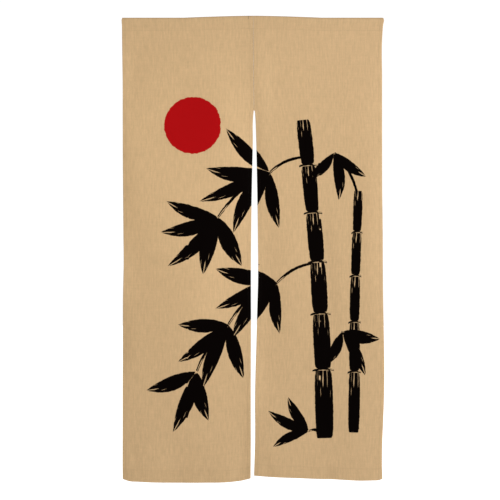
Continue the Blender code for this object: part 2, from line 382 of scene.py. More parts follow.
def curve(table, column, at):
    """The table's column as a smooth curve over its first one: cubic Hermite, with mean slopes."""
    rows = np.array(table)
    places, values = rows[:, 0], rows[:, column]
    slopes = np.gradient(values, places)
    at = np.clip(at, places[0], places[-1])
    first = np.clip(np.searchsorted(places, at, side="right") - 1, 0, len(places) - 2)
    step = places[first + 1] - places[first]
    t = (at - places[first]) / step
    return (
        values[first] * (1 + 2 * t) * (1 - t) ** 2
        + values[first + 1] * t**2 * (3 - 2 * t)
        + step * (slopes[first] * t * (1 - t) ** 2 - slopes[first + 1] * t**2 * (1 - t))
    )


def edges(side, drop):
    """The outer and the inner edge's x of one panel, at each drop. Side is -1 left or 1 right.
    The inner edge follows the seam, and leaves it for the slit's edge over the slit's tip."""
    column = 1 if side < 0 else 2
    outer = curve(OUTER_EDGES, column, drop)
    seam = curve(SEAM_LINE, 1, drop) - side * SEAM_PRESS
    slit = curve(SLIT_EDGES, column, drop)
    opened = smooth((drop - SEAM_LENGTH) / SLIT_TIP)
    return outer, seam + (slit - seam) * opened


def crest(x):
    """Height of the top edge's middle surface: highest at x = 0, and level past the half width."""
    hump = 1.0 - (np.abs(x) / CREST_HALF_WIDTH) ** CREST_POWER
    return SOLID_CLOTH / 2 + CREST_RISE * (np.clip(hump, 0.0, 1.0) - 1.0)


def rows_of(table, side):
    """A table's rows for one panel, each with its number in place of the panel's name."""
    names = ("both", "left" if side < 0 else "right")
    return [(number, *row[1:]) for number, row in enumerate(table) if row[0] in names]


def ridges(table, side, x, drop):
    """The sum of a table's ridges: height times exp(-(distance / half width)^2), eased at both ends."""
    total = np.zeros(np.broadcast(x, drop).shape)
    for _, start, x_start, end, x_end, ease, half_width, height in rows_of(table, side):
        along = (drop - start) / (end - start)
        middle = x_start + (x_end - x_start) * along
        reach = smooth((drop - start) / ease) * smooth((end - drop) / ease)
        total += height * reach * np.exp(-(((x - middle) / half_width) ** 2))
    return total


def wander(along, seed, wave):
    """A smooth uneven curve of about -1 to 1: three sines whose lengths share no common multiple."""
    turns = np.random.default_rng(seed).uniform(0.0, 2 * np.pi, 3)
    lengths = wave * np.array([1.0, 0.618, 0.414])
    parts = np.sin(2 * np.pi * np.asarray(along)[..., None] / lengths + turns)
    return parts @ np.array([0.5, 0.3, 0.2])


def ripples(place, seed, pitch, height, waves):
    """height * sin(2 pi * place / pitch), whose phase and height wander along the place."""
    phase = 2 * np.pi * place / pitch + PHASE_WANDER * wander(place, seed, waves[0])
    mean, change = RIPPLE_HEIGHT
    strength = height * (mean + change * wander(place, seed + HEIGHT_SEED, waves[1]))
    return strength * np.sin(phase)


def puckers(side, across, drop):
    """Ripples along the rows of stitches, times exp(-distance / reach). Their place slants away
    from the edge, and at the sides they ease in and out."""
    total = np.zeros(np.broadcast(across, drop).shape)
    for seed, edge, start, end, pitch, reach, slant, height in rows_of(SIDE_PUCKERS, side):
        inset = PANEL_WIDTH * (across if edge == "outer" else 1.0 - across)
        held = smooth((drop - start) / SIDE_EASES[0]) * smooth((end - drop) / SIDE_EASES[1])
        ripple = ripples(drop + slant * inset, seed, pitch, height, SIDE_WAVES)
        total += ripple * held * np.exp(-inset / reach)
    for seed, row, pitch, reach, slant, height in rows_of(ROW_PUCKERS, side):
        off = drop - row
        ripple = ripples(PANEL_WIDTH * across + slant * off, seed + ROW_SEED, pitch, height, ROW_WAVES)
        total += ripple * np.exp(-np.abs(off) / reach)
    return total


def unevenness(x, drop):
    """The slack of hand-hung cloth: a sum of low waves in slanted directions, of unlike lengths
    and with heights in proportion."""
    random = np.random.default_rng(SLACK_SEED)
    total = np.zeros(np.broadcast(x, drop).shape)
    for length in SLACK_LENGTHS:
        lean = random.uniform(-SLACK_LEAN, SLACK_LEAN)
        turn = random.uniform(0.0, 2 * np.pi)
        swell = SWELL[0] + SWELL[1] * wander(drop * SWELL_SLANT + x, int(1000 * length), SWELL_LENGTH)
        total += length * swell * np.sin(2 * np.pi * (x + lean * drop) / length + turn)
    return SLACK / SLACK_LENGTHS[0] * total


def sleeve_loop(turn):
    """The sleeve's section at each turn from 0, its sewn edge at the back, over the fold at pi, to 2 pi.
    The back is half a teardrop, y = sin t sin(t / 2), z = -(1 + cos t) / 2, pointed at the seam.
    The front curves forward over the fold's radius, and then hangs straight."""
    drop = SLEEVE_DEPTH * (1 + np.cos(turn)) / 2
    belly, widest = np.sin(turn) * np.sin(turn / 2), 4 / 27**0.5
    back = SLEEVE_HALF_WIDTH * belly / widest + SLEEVE_SEAM_Y * smooth(drop / SLEEVE_DEPTH)
    short = 1 - np.clip(drop / SLEEVE_FOLD_RADIUS, 0, 1)
    front = SLEEVE_SEAM_Y * np.sqrt(1 - short**2)
    return np.where(turn <= np.pi, back, front), drop


def hang(side, across, drop, turn=None):
    """Places on a panel's front layer. Across is 0 at the outer edge and 1 at the inner one.
    Below the sleeve, y is the sleeve's seam less the folds. In it, the loop at that turn gives y."""
    outer, inner = edges(side, drop)
    x = outer + (inner - outer) * across
    below = SLEEVE_SEAM_Y - ridges(FOLDS, side, x, drop) - relief(side, x, across, drop)
    y = below if turn is None else np.where(np.isnan(turn), below, sleeve_loop(turn)[0] + 0 * x)

    hem_line = LEFT_HEM_LINE if side < 0 else RIGHT_HEM_LINE
    extra = curve(hem_line, 1, x) - DROP
    stretch = np.clip((drop - SLEEVE_DEPTH) / (DROP - SLEEVE_DEPTH), 0.0, 1.0)
    fade = smooth((drop - SLEEVE_DEPTH) / CREST_FADE)
    rise = crest(x) + (crest(CREST_HALF_WIDTH) - crest(x)) * fade
    return np.stack([x, y, rise - drop - extra * stretch**2], axis=-1)


def relief(side, x, across, drop):
    """The finer creases, puckers and slack, which start at the sleeve's seam."""
    fine = ridges(CREASES, side, x, drop) + puckers(side, across, drop) + unevenness(x, drop)
    return fine * smooth((drop - SLEEVE_DEPTH) / RELIEF_FADE)


def unit(vectors):
    """Vectors over their lengths."""
    return vectors / np.linalg.norm(vectors, axis=-1, keepdims=True)


def facing(side, points):
    """Unit normals of a grid of points, towards the cloth's wrong side: down crossed with across."""
    down, across = np.gradient(points, axis=0), np.gradient(points, axis=1)
    return unit(side * np.cross(down, across))


def turned(insets):
    """Offsets behind the cloth of a hem's front and back layer, at each inset from its fold.
    Half a circle of radius HEM_FOLD / 2 joins the two, and past it both run level."""
    radius = HEM_FOLD / 2
    short = radius - np.minimum(insets, radius)
    rise = np.sqrt(radius**2 - short**2)
    return radius - rise, radius + rise


def hem_insets(depth, count):
    """Insets from a fold to the hem's free edge: four points round the fold, and then even steps."""
    round_fold = HEM_FOLD / 2 * (1 - np.cos(np.radians([0, 30, 60, 90])))
    return np.concatenate([round_fold, np.linspace(HEM_FOLD / 2, depth, count + 1)[1:]])


def across_the_cloth():
    """The panel's columns: the turned outer hem, the front layer, and the turned inner hem.
    Gives the front layer's insets from the outer fold, the path over them, and each step's layer."""
    hem = hem_insets(SIDE_HEM_WIDTH, SIDE_HEM_COLUMNS)
    middle = np.linspace(SIDE_HEM_WIDTH, PANEL_WIDTH - SIDE_HEM_WIDTH, MIDDLE_COLUMNS + 1)[1:-1]
    front = np.concatenate([hem, middle, PANEL_WIDTH - hem[::-1]])
    last, turns = len(front) - 1, len(hem) - 1
    path = np.concatenate(
        [np.arange(turns, 0, -1), np.arange(last + 1), np.arange(last - 1, last - turns - 1, -1)]
    )
    behind = np.repeat([True, False, True], [turns, last + 1, turns])
    return front, path, behind


def down_the_cloth():
    """The panel's rows: the sleeve's flap and loop, the drop to the foot, and the turned foot hem.
    Gives the front layer's drops, the sleeve's turns (nan below it), the path and each step's layer."""
    flap = SLEEVE_DEPTH + FLAP * np.array(FLAP_STEPS)
    turn = np.linspace(0, 2 * np.pi, SLEEVE_ROWS + 1)
    hem = hem_insets(BOTTOM_HEM_DEPTH, FOOT_HEM_ROWS)
    top, tip = SEAM_LENGTH - SLIT_TIP, SEAM_LENGTH + 2 * SLIT_TIP
    hem_top = DROP - BOTTOM_HEM_DEPTH
    drops = [
        flap,
        sleeve_loop(turn)[1],
        np.arange(SLEEVE_DEPTH, top, ROW_STEP)[1:],
        np.arange(top, tip - SLIT_TIP / 8, SLIT_TIP / 4),
        np.arange(tip, hem_top - ROW_STEP / 2, ROW_STEP),
        DROP - hem[::-1],
    ]
    front = np.concatenate(drops)
    turns = np.full(len(front), np.nan)
    turns[: len(flap)] = 0.0
    turns[len(flap) : len(flap) + len(turn)] = turn
    last, back = len(front) - 1, len(hem) - 1
    path = np.concatenate([np.arange(last + 1), np.arange(last - 1, last - back - 1, -1)])
    behind = np.repeat([False, True], [last + 1, back])
    return front, turns, path, behind


def lay_cloth(side):
    """A panel's middle surface, with its hems and its sleeve turned to the wrong side.
    A turned layer stands off the front one along its normal, by the layers that lie between them."""
    insets, over, over_behind = across_the_cloth()
    drops, turns, down, down_behind = down_the_cloth()
    across = (insets + CLOTH / 2) / (PANEL_WIDTH + CLOTH)
    base = hang(side, across[None, :], drops[:, None], turns[:, None])
    normal = facing(side, base)

    inset = np.minimum(insets, PANEL_WIDTH - insets)[over]
    height = np.clip(DROP - drops, 0, None)[down]
    side_front, side_back = turned(inset)
    foot_front, foot_back = turned(height)
    side_offset = np.where(over_behind, side_back, side_front)[None, :]
    foot_offset = np.where(down_behind, foot_back, foot_front)[:, None]
    hemmed = 1 - smooth((inset - SIDE_HEM_WIDTH) / HEM_FADE)[None, :]
    turned_up = foot_offset / HEM_FOLD
    offset = side_offset + foot_offset + turned_up * (CORNER_PILE * hemmed - 2 * side_offset)
    sewn_down = 1 - smooth(np.nan_to_num(turns, nan=np.pi) / np.pi)[down][:, None]
    offset = offset - sewn_down * (HEM_FOLD + SLEEVE_PILE * hemmed)

    grid = np.ix_(down, over)
    points = base[grid] + normal[grid] * offset[..., None]
    doubled = over_behind[None, :] | down_behind[:, None]
    past_folds = (inset > HEM_FOLD / 2)[None, :] & (height > HEM_FOLD / 2)[:, None]
    flap = ((turns < np.pi) & (drops > SLEEVE_DEPTH - FLAP_TURN))[down][:, None]
    thickness = np.where(doubled & past_folds | flap, DOUBLED, CLOTH)

    middle = points.shape[1] // 2
    steps = np.linalg.norm(np.diff(points[:, middle], axis=0), axis=-1)
    length = np.concatenate([[0.0], np.cumsum(steps)])
    length += SLEEVE_DEPTH - length[len(FLAP_STEPS) + SLEEVE_ROWS]
    width = np.where(over_behind, -inset, inset)
    inner_half = over > len(insets) // 2
    from_seam = np.where(inner_half, width, PANEL_WIDTH - width)
    shape = points.shape[:2]
    return {
        "points": points,
        "normal": normal[grid],
        "thickness": thickness,
        "place": np.stack(np.broadcast_arrays(side * from_seam[None, :], length[:, None]), axis=-1),
        "hems": np.stack(
            np.broadcast_arrays(inset[None, :], height[:, None], drops[down][:, None]), axis=-1
        ),
        "front": np.broadcast_to(~over_behind[None, :] & ~down_behind[:, None], shape),
    }


def shell(side, cloth):
    """The cloth's two faces, half its thickness before and behind the middle surface, and its rim.
    The right side's points come first. Quads run down and across, so that they face outwards."""
    count_down, count_over = cloth["thickness"].shape
    step = cloth["normal"] * cloth["thickness"][..., None] / 2
    right, wrong = cloth["points"] - step, cloth["points"] + step
    points = np.concatenate([right.reshape(-1, 3), wrong.reshape(-1, 3)])

    number = np.arange(count_down * count_over).reshape(count_down, count_over)
    a, b, c, d = number[:-1, :-1], number[1:, :-1], number[1:, 1:], number[:-1, 1:]
    faces = np.stack([a, b, c, d], axis=-1).reshape(-1, 4)
    behind = faces[:, ::-1] + number.size
    rim = np.concatenate([number[:, 0], number[-1, 1:], number[-2::-1, -1], number[0, -2::-1]])
    start, end = rim[:-1], rim[1:]
    around = np.stack([end, start, start + number.size, end + number.size], axis=-1)
    faces = np.concatenate([faces, behind, around])
    faces = faces if side < 0 else faces[:, ::-1]
    return points, faces.tolist()


def stroke(start, end, bow, half_width, kind):
    """One stroke of the brush, whose middle line bows sideways between its ends."""
    return {"start": start, "end": end, "bow": bow, "half_width": half_width, "kind": kind}


def stalk_strokes():
    """Each stalk as one stroke a joint: its places follow a bowed line, and it narrows upwards."""
    strokes = []
    for foot_x, foot_drop, top_x, top_drop, bow, foot_width, top_width, joints in STALKS:
        # The joints stand further apart towards the foot.
        level = np.linspace(0, 1, joints + 1) ** STALK_SPACING
        x = foot_x + (top_x - foot_x) * level + bow * np.sin(np.pi * level)
        drop = foot_drop + (top_drop - foot_drop) * level
        width = foot_width + (top_width - foot_width) * level
        for k in range(joints):
            ends = np.array([[x[k], drop[k]], [x[k + 1], drop[k + 1]]])
            run = (ends[1] - ends[0]) / np.linalg.norm(ends[1] - ends[0])
            start, end = ends[0] + run * JOINT_GAP / 2, ends[1] - run * JOINT_GAP / 2
            strokes.append(stroke(start, end, 0.0, width[k] / 2, "stalk"))
        for k in range(1, joints):
            reach = width[k] * JOINT_REACH
            start = np.array([x[k] - reach, drop[k] + JOINT_DIP])
            end = np.array([x[k] + reach, drop[k] + JOINT_DIP / 2])
            strokes.append(stroke(start, end, -JOINT_DIP, JOINT_MARK, "stalk"))
    return strokes


def spray_strokes():
    """Each spray as a twig and a fan of leaves, which spread evenly about its heading."""
    random, strokes = np.random.default_rng(LEAF_SEED), []
    for root_x, root_drop, joint_x, joint_drop, heading, leaves, spread, length, width in SPRAYS:
        root, joint = np.array([root_x, root_drop]), np.array([joint_x, joint_drop])
        strokes.append(stroke(joint, root, TWIG_BOW, TWIG_WIDTH / 2, "stalk"))
        for place in np.linspace(-0.5, 0.5, leaves):
            angle = math.radians(heading + spread * place + random.uniform(-LEAF_TURN, LEAF_TURN))
            run = np.array([math.cos(angle), -math.sin(angle)])
            reach = length * (1 - OUTER_LEAF_LOSS * abs(place)) * random.uniform(*LEAF_LENGTHS)
            start = root + run * LEAF_ROOT * random.uniform(*LEAF_ROOTS)
            bow = reach * random.uniform(*LEAF_BOWS) * (1 if place > 0 else -1)
            half_width = width / 2 * random.uniform(*LEAF_WIDTHS)
            strokes.append(stroke(start, start + run * reach, bow, half_width, "leaf"))
    return strokes


def stroke_place(one, place):
    """Where points lie along a stroke, 0 to 1, and how far off its bowed middle line, in metres.
    The line is the chord, moved sideways by bow * 4 a (1 - a). Gives the chord's length as well."""
    run = one["end"] - one["start"]
    length = np.linalg.norm(run)
    run = run / length
    from_start = place - one["start"]
    along = from_start @ run / length
    off = from_start @ np.array([-run[1], run[0]])
    return along, off - one["bow"] * 4 * along * (1 - along), length


def ink_layers(place, front):
    """The print as layers of point attributes: each holds, by a stroke, the place along it, the
    distance off it, and its half width. A point by no stroke has NO_STROKE, of half width -1.
    Strokes in one layer lie further apart than the cloth's points, so that none mixes with another."""
    blank = np.broadcast_to(NO_STROKE, place.shape[:-1] + (3,))
    inks = {f"{kind}_{k}": blank.copy() for kind, count in INK_LAYERS.items() for k in range(count)}
    for one in stalk_strokes() + spray_strokes():
        along, off, length = stroke_place(one, place)
        end_margin = INK_MARGIN / length
        near = (np.abs(off) < INK_REACH * one["half_width"] + INK_MARGIN) & front
        near &= (along > -end_margin) & (along < 1 + end_margin)
        names = [name for name in inks if name.startswith(one["kind"])]
        free = [name for name in names if not (near & (inks[name][..., 2] > 0)).any()]
        values = np.stack([along, off, np.full(along.shape, one["half_width"])], axis=-1)
        inks[free[0]][near] = values[near]
    return inks


def inked(place):
    """Where the print's black covers the cloth: inside any stroke, by the brush stroke's formula."""
    covered = np.zeros(place.shape[:-1], bool)
    for one in stalk_strokes() + spray_strokes():
        root, tip, gain, _ = BRUSH[one["kind"]]
        along, off, _ = stroke_place(one, place)
        inner = np.clip(along, 0.0, 1.0)
        reach = one["half_width"] * gain * inner**root * (1 - inner) ** tip
        covered |= (reach - np.abs(off) - END_FALL * np.abs(along - inner)) > 0
    return covered


def placed(name, data):
    """A new object of a mesh, a lamp or a camera, in the scene."""
    made = bpy.data.objects.new(name, data)
    bpy.context.scene.collection.objects.link(made)
    return made


def mesh_object(name, points, faces, material):
    """A piece at the origin, with its place in its mesh and its faces shaded smooth."""
    mesh = bpy.data.meshes.new(name)
    mesh.from_pydata(points.tolist(), [], faces)
    mesh.shade_smooth()
    mesh.materials.append(material)
    return placed(name, mesh)


def point_vectors(piece, name, values):
    """Stores one vector a point, of an array whose last axis is the vector."""
    layer = piece.data.attributes.new(name, "FLOAT_VECTOR", "POINT")
    layer.data.foreach_set("vector", np.ascontiguousarray(values, np.float32).ravel())


def panel(name, side, material):
    """One cloth panel, with its place on the cloth, its hems and its print as point attributes."""
    cloth = lay_cloth(side)
    points, faces = shell(side, cloth)
    piece = mesh_object(name, points, faces, material)

    both = {key: np.concatenate([cloth[key], cloth[key]]) for key in ("place", "hems", "front")}
    corner = np.empty(len(piece.data.loops), np.int32)
    piece.data.loops.foreach_get("vertex_index", corner)
    cloth_map = piece.data.uv_layers.new(name="cloth")
    cloth_map.data.foreach_set("uv", both["place"].reshape(-1, 2)[corner].astype(np.float32).ravel())

    right_side = np.concatenate([np.ones(cloth["front"].shape), np.zeros(cloth["front"].shape)])
    point_vectors(piece, "hems", both["hems"])
    point_vectors(piece, "sides", np.stack([right_side, both["front"], 0 * right_side], axis=-1))
    for layer, ink in ink_layers(cloth["place"], cloth["front"]).items():
        point_vectors(piece, layer, np.concatenate([ink, ink]))
    return piece


def stitch_shape():
    """One stitch along its first axis: three rings of six points between two ends.
    It bows out of the cloth along its second axis, by a half sine."""
    along = np.array([-0.5, -0.36, 0.0, 0.36, 0.5])
    width = np.array([0.0, 0.85, 1.0, 0.85, 0.0])
    bow = STITCH_RISE * np.sin(np.pi * (along + 0.5))
    angle = np.radians(np.arange(0, 360, 60))
    ring = np.stack([np.cos(angle), np.sin(angle)], axis=-1) * THREAD / 2
    rings = [
        np.column_stack([np.full(6, x * STITCH_LENGTH), w * ring[:, 0] + y, w * ring[:, 1]])
        for x, w, y in zip(along[1:-1], width[1:-1], bow[1:-1])
    ]
    ends = [[along[0] * STITCH_LENGTH, bow[0], 0.0], [along[-1] * STITCH_LENGTH, bow[-1], 0.0]]
    points = np.concatenate([*rings, ends])
    k = np.arange(6)
    nxt = (k + 1) % 6
    quads = np.concatenate([np.stack([k, nxt, nxt + 6, k + 6], axis=-1) + 6 * r for r in (0, 1)])
    first = np.stack([k, np.full(6, 18), nxt], axis=-1)
    last = np.stack([k + 12, nxt + 12, np.full(6, 19)], axis=-1)
    return points, quads, np.concatenate([first, last])


def sew(rows):
    """Stitches at each row's places: a stitch's middle, the way it runs, the way out and its ink."""
    shape, quads, ends = stitch_shape()
    middle, run, out, black = (np.concatenate([row[k] for row in rows]) for k in range(4))
    run = unit(run)
    out = unit(out - (out * run).sum(-1, keepdims=True) * run)
    axes = np.stack([run, out, np.cross(run, out)], axis=1)
    points = middle[:, None, :] + np.einsum("pk,nkc->npc", shape, axes)
    shift = (np.arange(len(middle)) * len(shape))[:, None, None]
    faces = [*(quads + shift).reshape(-1, 4).tolist(), *(ends + shift).reshape(-1, 3).tolist()]
    return points.reshape(-1, 3), faces, np.repeat(black, len(shape))


def stitch_row(side, inset, drop, pile, front_of_sleeve=False):
    """A row's stitches, on the right side and on the back of the layers they go through.
    On the front of the sleeve a drop's turn is 2 pi - arccos(2 drop / depth - 1)."""
    inset, drop, pile = np.broadcast_arrays(inset, drop, pile)
    across = (inset + CLOTH / 2) / (PANEL_WIDTH + CLOTH)
    turn = 2 * np.pi - np.arccos(2 * drop / SLEEVE_DEPTH - 1) if front_of_sleeve else None
    middle = hang(side, across, drop, turn)
    sideways = hang(side, across + TINY_STEP / PANEL_WIDTH, drop, turn) - middle
    run = np.gradient(middle, axis=0)
    down = np.gradient(middle, axis=0) if np.ptp(drop) > 0 else hang(side, across, drop + TINY_STEP) - middle
    wrong = unit(side * np.cross(down, sideways))
    back = (pile - THREAD_SUNK)[:, None]
    black = inked(np.stack([side * (PANEL_WIDTH - inset), drop], axis=-1))
    return [
        (middle - wrong * (CLOTH / 2 - THREAD_SUNK), run, -wrong, black),
        (middle + wrong * back, run, wrong, 0 * black),
    ]


def pile_at(inset, hem_pile):
    """How far the back of a turned row of layers lies behind the cloth, more over the side hems."""
    from_edge = np.minimum(inset, PANEL_WIDTH - inset)
    return HEM_FOLD + DOUBLED / 2 + hem_pile * (1 - smooth((from_edge - SIDE_HEM_WIDTH) / HEM_FADE))


def panel_stitching(name, side, material):
    """The rows that hold a panel's two side hems, its foot hem and its sleeve."""
    hem_pile, rows = HEM_FOLD + DOUBLED / 2, []
    sleeve = np.arange(STITCH_PITCH, SLEEVE_DEPTH - STITCH_PITCH, STITCH_PITCH)
    below = np.arange(SLEEVE_DEPTH + STITCH_PITCH, DROP - STITCH_PITCH / 2, STITCH_PITCH)
    for inset in (SIDE_HEM_WIDTH - STITCH_INSET, PANEL_WIDTH - SIDE_HEM_WIDTH + STITCH_INSET):
        rows += stitch_row(side, inset, below, hem_pile)
        rows += stitch_row(side, inset, sleeve, hem_pile, front_of_sleeve=True)
    along = np.arange(STITCH_PITCH / 2, PANEL_WIDTH, STITCH_PITCH)
    rows += stitch_row(side, along, DROP - BOTTOM_HEM_DEPTH + STITCH_INSET, pile_at(along, CORNER_PILE))
    rows += stitch_row(side, along, SLEEVE_DEPTH, pile_at(along, SLEEVE_PILE))
    return stitch_object(name, rows, material)


def seam_stitching(name, material):
    """The stitches that join the panels behind the seam, and the bar tack at its foot, front and back."""
    seam = np.arange(SLEEVE_DEPTH + 2 * STITCH_PITCH, SEAM_LENGTH - TACK_LENGTH, STITCH_PITCH)
    tack = np.arange(SEAM_LENGTH - TACK_LENGTH, SEAM_LENGTH, TACK_PITCH)
    across, out = np.array([[1.0, 0.0, 0.0]]), np.array([[0.0, 1.0, 0.0]])
    rows = []
    for drops, ways in ((seam, (1,)), (tack, (1, -1))):
        middle = (hang(-1, 1.0, drops) + hang(1, 1.0, drops)) / 2
        for way in ways:
            deep = HEM_FOLD + DOUBLED / 2 if way > 0 else CLOTH / 2
            places = middle + way * (deep - THREAD_SUNK) * out
            rows.append((places, across + 0 * places, way * out + 0 * places, 0 * drops))
    return stitch_object(name, rows, material)


def stitch_object(name, rows, material):
    """Rows of stitches as one piece, with each point's ink."""
    points, faces, black = sew(rows)
    piece = mesh_object(name, points, faces, material)
    layer = piece.data.attributes.new("inked", "FLOAT", "POINT")
    layer.data.foreach_set("value", black.astype(np.float32))
    return piece


def put(given, taken):
    """Links a socket to an input, or sets the input to a value."""
    if isinstance(given, bpy.types.NodeSocket):
        taken.id_data.links.new(given, taken)
    else:
        taken.default_value = given


def node(tree, kind, inputs=None, **settings):
    """A new node, with its settings, and its inputs linked or set by name or number."""
    made = tree.nodes.new(kind)
    for name, value in settings.items():
        setattr(made, name, value)
    for name, value in (inputs or {}).items():
        put(value, made.inputs[name])
    return made


def calc(tree, operation, *values, clamp=False):
    """The result of one Math node."""
    inputs = dict(enumerate(values))
    return node(tree, "ShaderNodeMath", inputs, operation=operation, use_clamp=clamp).outputs[0]


def times(tree, product, *others):
    """The product of two or more values."""
    for other in others:
        product = calc(tree, "MULTIPLY", product, other)
    return product


def plus(tree, total, *others):
    """The sum of two or more values."""
    for other in others:
        total = calc(tree, "ADD", total, other)
    return total


def less(tree, value, taken):
    """One value less another."""
    return calc(tree, "SUBTRACT", value, taken)


def bell(tree, value, middle, width):
    """exp(-((value - middle) / width)^2)."""
    off = calc(tree, "DIVIDE", less(tree, value, middle), width)
    return calc(tree, "EXPONENT", times(tree, off, off, -1.0))


def ramp(tree, value, low, high, first=0.0, last=1.0):
    """First up to low, last from high, and even steps between."""
    ends = {"From Min": low, "From Max": high, "To Min": first, "To Max": last}
    return node(tree, "ShaderNodeMapRange", {"Value": value, **ends}).outputs[0]


def blend(tree, factor, first, second, kind="RGBA"):
    """The first colour or vector at factor 0, and the second at 1."""
    at, result = {"RGBA": (6, 2), "VECTOR": (4, 1)}[kind]
    inputs = {"Factor": factor, at: first, at + 1: second}
    return node(tree, "ShaderNodeMix", inputs, data_type=kind).outputs[result]


def dye(tree, colour, tone):
    """A colour times a tone."""
    return node(tree, "ShaderNodeVectorMath", {0: colour, "Scale": tone}, operation="SCALE").outputs[0]


def attribute(tree, name):
    """The outputs of one of the mesh's own attributes."""
    return node(tree, "ShaderNodeAttribute", attribute_name=name).outputs


def parts_of(tree, vector):
    """The three parts of a vector."""
    return node(tree, "ShaderNodeSeparateXYZ", {0: vector}).outputs


def uneven(tree, place, noise):
    """Noise on the place times its turns each way, less its mean: about -0.5 to 0.5."""
    stretch, detail, roughness = noise
    scaled = node(tree, "ShaderNodeVectorMath", {0: place, 1: stretch}, operation="MULTIPLY").outputs[0]
    inputs = {"Vector": scaled, "Scale": 1.0, "Detail": detail, "Roughness": roughness}
    return less(tree, node(tree, "ShaderNodeTexNoise", inputs).outputs[0], 0.5)


def new_group(name, inputs, outputs):
    """An empty node group with these sockets, and the ends of its input node and its output node."""
    tree = bpy.data.node_groups.new(name, "ShaderNodeTree")
    for way, sockets in (("INPUT", inputs), ("OUTPUT", outputs)):
        for socket, kind in sockets.items():
            tree.interface.new_socket(socket, in_out=way, socket_type=kind)
    return tree, tree.nodes.new("NodeGroupInput").outputs, tree.nodes.new("NodeGroupOutput").inputs


def use(tree, group, inputs):
    """The outputs of a group placed in a tree, with its inputs linked or set."""
    return node(tree, "ShaderNodeGroup", inputs, node_tree=group).outputs


def new_material(name):
    """A material, its node tree, and the inputs of its shader."""
    material = bpy.data.materials.new(name)
    material.use_nodes = True
    tree = material.node_tree
    return material, tree, tree.nodes["Principled BSDF"].inputs


def slub_weave_group():
    """Plain weave with slubs: long thick yarns each way, finer yarns between, and their crossings."""
    tree, given, taken = new_group("slub weave", {"Place": VECTOR}, {"Tone": FLOAT, "Height": FLOAT})
    place = given["Place"]
    warp, weft = uneven(tree, place, WARP_SLUBS), uneven(tree, place, WEFT_SLUBS)
    slubs = plus(tree, warp, times(tree, weft, WEFT_SHARE))
    fine = plus(tree, uneven(tree, place, FINE_WARP), uneven(tree, place, FINE_WEFT))
    put(plus(tree, slubs, times(tree, fine, FINE_TONE)), taken["Tone"])

    x, drop, _ = parts_of(tree, place)
    over, under = (calc(tree, "SINE", times(tree, part, 2 * math.pi / YARN_PITCH)) for part in (x, drop))
    yarns = plus(tree, times(tree, over, under, CROSSING_HEIGHT), times(tree, fine, FINE_HEIGHT))
    put(plus(tree, yarns, slubs), taken["Height"])
    return tree


def layers_group():
    """How many layers of cloth lie behind a place, 0 to 2, and how near it is to a row of stitches,
    times the row's strength. Hems holds the inset from a side, the height above the foot and the drop."""
    outputs = {"Layers": FLOAT, "Stitched": FLOAT}
    tree, given, taken = new_group("turned layers", {"Hems": VECTOR}, outputs)
    layers, stitched = 0.0, 0.0
    for part, (width, inset, strength) in zip(parts_of(tree, given["Hems"]), HEM_ROWS):
        layers = plus(tree, ramp(tree, part, width - HEM_EDGE, width + HEM_EDGE, 1.0, 0.0), layers)
        dimple = times(tree, bell(tree, part, width - inset, DIMPLE_WIDTH), strength)
        stitched = calc(tree, "MAXIMUM", dimple, stitched)
    put(calc(tree, "MINIMUM", layers, 2.0), taken["Layers"])
    put(stitched, taken["Stitched"])
    return tree


def stroke_group():
    """How far inside a brush stroke's edge a place lies: half width * gain * a^root * (1 - a)^tip - |off|,
    less some for each length past an end. Stroke holds the place along it, a, the distance off it,
    and its half width."""
    inputs = {"Stroke": VECTOR, "Root": FLOAT, "Tip": FLOAT, "Gain": FLOAT}
    tree, given, taken = new_group("brush stroke", inputs, {"Inside": FLOAT})
    place_along, off, half_width = parts_of(tree, given["Stroke"])
    along = calc(tree, "ADD", place_along, 0.0, clamp=True)
    root = calc(tree, "POWER", along, given["Root"])
    tip = calc(tree, "POWER", less(tree, 1.0, along), given["Tip"])
    reach = times(tree, root, tip, given["Gain"], half_width)
    past_end = calc(tree, "ABSOLUTE", less(tree, place_along, along))
    inside = less(tree, reach, calc(tree, "ABSOLUTE", off))
    put(less(tree, inside, times(tree, past_end, END_FALL)), taken["Inside"])
    return tree


def brush_ink(tree, stroke_reach, place, kind):
    """The ink of one kind of stroke: the furthest inside of its layers, with a ragged edge, and dry
    streaks that run along the stroke and widen towards its end."""
    root, tip, gain, dry_from = BRUSH[kind]
    inside, chosen = -1.0, NO_STROKE
    for k in range(INK_LAYERS[kind]):
        stroke_at = attribute(tree, f"{kind}_{k}")["Vector"]
        here = use(tree, stroke_reach, {"Stroke": stroke_at, "Root": root, "Tip": tip, "Gain": gain})[0]
        nearer = calc(tree, "GREATER_THAN", here, inside)
        chosen = blend(tree, nearer, chosen, stroke_at, "VECTOR")
        inside = calc(tree, "MAXIMUM", here, inside)
    ragged = times(tree, uneven(tree, place, RAGGED_EDGE), RAGGED_DEPTH)
    mask = ramp(tree, plus(tree, inside, ragged), -INK_SOFTNESS, INK_SOFTNESS)

    streak = uneven(tree, chosen, DRY_STREAKS)
    dryness = times(tree, ramp(tree, parts_of(tree, chosen)[0], dry_from, 1.0), DRY_SHARE)
    bare = less(tree, plus(tree, streak, dryness), DRY_START)
    return times(tree, mask, ramp(tree, bare, 0.0, DRY_SOFTNESS, 1.0, 0.0))


def sun_ink(tree, place):
    """The red disc: all within its radius, give or take a ragged edge."""
    x, drop, radius = SUN
    far = node(tree, "ShaderNodeVectorMath", {0: place, 1: (x, drop, 0.0)}, operation="DISTANCE")
    ragged = times(tree, uneven(tree, place, RAGGED_EDGE), SUN_RAGGED_DEPTH)
    inside = less(tree, ragged, far.outputs["Value"])
    return ramp(tree, inside, -radius - INK_SOFTNESS, -radius + INK_SOFTNESS)


